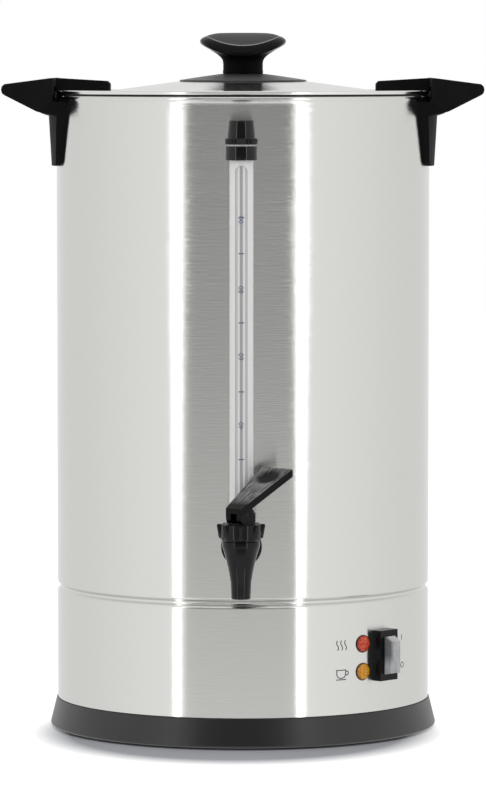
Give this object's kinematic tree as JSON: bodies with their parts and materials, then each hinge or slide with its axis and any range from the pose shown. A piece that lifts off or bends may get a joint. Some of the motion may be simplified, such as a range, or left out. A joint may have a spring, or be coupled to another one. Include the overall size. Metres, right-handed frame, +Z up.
{
  "type": "coffee urn",
  "caption": "Free-standing percolator coffee urn with a lever tap, sight gauge, twist-lock lid, side handles, rocker switch and lamps.",
  "frame": {"origin": "on the vessel's axis, in the plane of the foot ring that the urn stands on", "axes": "+Z up along the vessel's axis, -Y towards the tap, +X to the right seen from the tap side"},
  "size_m": [0.3534, 0.3474, 0.513],
  "materials": {
    "vessel_steel": "brushed round the body",
    "lid_steel": "polished",
    "tank_steel": "satin",
    "hardware_steel": "plated",
    "base_plastic": "satin black",
    "foot_rubber": "matt",
    "heat_aluminium": "cast",
    "element_sheath": "heat stained",
    "control_ceramic": "glazed",
    "brass_parts": "plain",
    "terminal_plastic": "natural",
    "wire_cover": "smooth",
    "inlet_plastic": "fine grain",
    "switch_plastic": "smooth",
    "rocker_plastic": "smooth grey",
    "boot_silicone": "clear and smooth",
    "red_lens": "clear red",
    "amber_lens": "clear amber",
    "handle_plastic": "satin black",
    "tap_plastic": "smooth black",
    "lever_plastic": "satin black",
    "seal_rubber": "smooth",
    "seal_silicone": "translucent",
    "gauge_clear": "clear",
    "gauge_plastic": "satin black",
    "gauge_washer_plastic": "white",
    "plate_plastic": "satin dark grey",
    "knob_plastic": "gloss black"
  },
  "bodies": {
    "urn": {"body_shell": "vessel_steel", "tank_floor": "tank_steel", "base_ring": "base_plastic", "bottom_cover": "base_plastic", "foot_ring": "foot_rubber", "tie_studs": "hardware_steel", "stud_nuts": "hardware_steel", "heat_plate": "heat_aluminium", "heating_element": "element_sheath", "boil_thermostat": "control_ceramic", "keep_warm_thermostat": "control_ceramic", "thermal_fuse": "brass_parts", "terminal_block": "terminal_plastic", "wiring": "wire_cover", "power_inlet": "inlet_plastic", "inlet_pins": "brass_parts", "inlet_screws": "hardware_steel", "switch_housing": "switch_plastic", "switch_boot": "boot_silicone", "heating_lamp_bezel": "switch_plastic", "heating_lamp_lens": "red_lens", "warm_lamp_bezel": "switch_plastic", "warm_lamp_lens": "amber_lens", "handle_left": "handle_plastic", "handle_right": "handle_plastic", "handle_screws": "hardware_steel", "handle_nuts": "hardware_steel", "tap_body": "tap_plastic", "tap_bonnet": "tap_plastic", "tap_gasket": "seal_rubber", "tap_inner_gasket": "seal_silicone", "tap_nut": "tap_plastic", "gauge_tube": "gauge_clear", "gauge_lower_seal": "seal_silicone", "gauge_bracket": "gauge_plastic", "gauge_washer": "gauge_washer_plastic", "gauge_upper_seal": "seal_silicone", "gauge_cap": "gauge_plastic", "gauge_stud_nut": "hardware_steel", "perc_stem": "tank_steel", "pump_base": "tank_steel", "coffee_basket": "tank_steel", "basket_cover": "tank_steel"},
    "lid_seal": {"lid_gasket": "seal_rubber"},
    "lid": {"lid_dome": "lid_steel", "knob_plate": "plate_plastic", "lid_knob": "knob_plastic", "knob_screw": "hardware_steel", "lid_lug_left": "handle_plastic", "lid_lug_right": "handle_plastic", "lug_rivets": "hardware_steel"},
    "tap_swivel": {"tap_washer": "seal_rubber"},
    "tap_stem": {"tap_stem": "tap_plastic", "tap_seat_cup": "seal_silicone", "tap_pin": "tap_plastic"},
    "tap_lever": {"tap_handle": "lever_plastic"},
    "rocker": {"switch_rocker": "rocker_plastic"}
  },
  "joints": [
    {"name": "lid_lift", "type": "slide", "parent": "urn", "child": "lid_seal", "axis": [0, 0, 1], "range_m": [0, 0.15]},
    {"name": "lid_turn", "type": "hinge", "parent": "lid_seal", "child": "lid", "pos_m": [0, 0, 0.4681], "axis": [0, 0, 1], "range_deg": [-10, 30]},
    {"name": "tap_turn", "type": "hinge", "parent": "urn", "child": "tap_swivel", "pos_m": [0, -0.1875, 0.1673], "axis": [0, 0, 1], "range_deg": [-268, 0]},
    {"name": "stem_lift", "type": "slide", "parent": "tap_swivel", "child": "tap_stem", "axis": [0, 0, 1], "range_m": [0, 0.00436]},
    {"name": "lever_tilt", "type": "hinge", "parent": "tap_stem", "child": "tap_lever", "pos_m": [0, -0.1875, 0.1738], "axis": [0.766, -0.6428, 0], "range_deg": [0, 50]},
    {"name": "rocker_tilt", "type": "hinge", "parent": "urn", "child": "rocker", "pos_m": [0.10396, -0.09526, 0.0634], "axis": [-0.6756, -0.7373, 0], "range_deg": [0, 18]}
  ],
  "couplings": [
    {"joint": "lever_tilt", "follows": "stem_lift", "rad_per_m": 200}
  ]
}
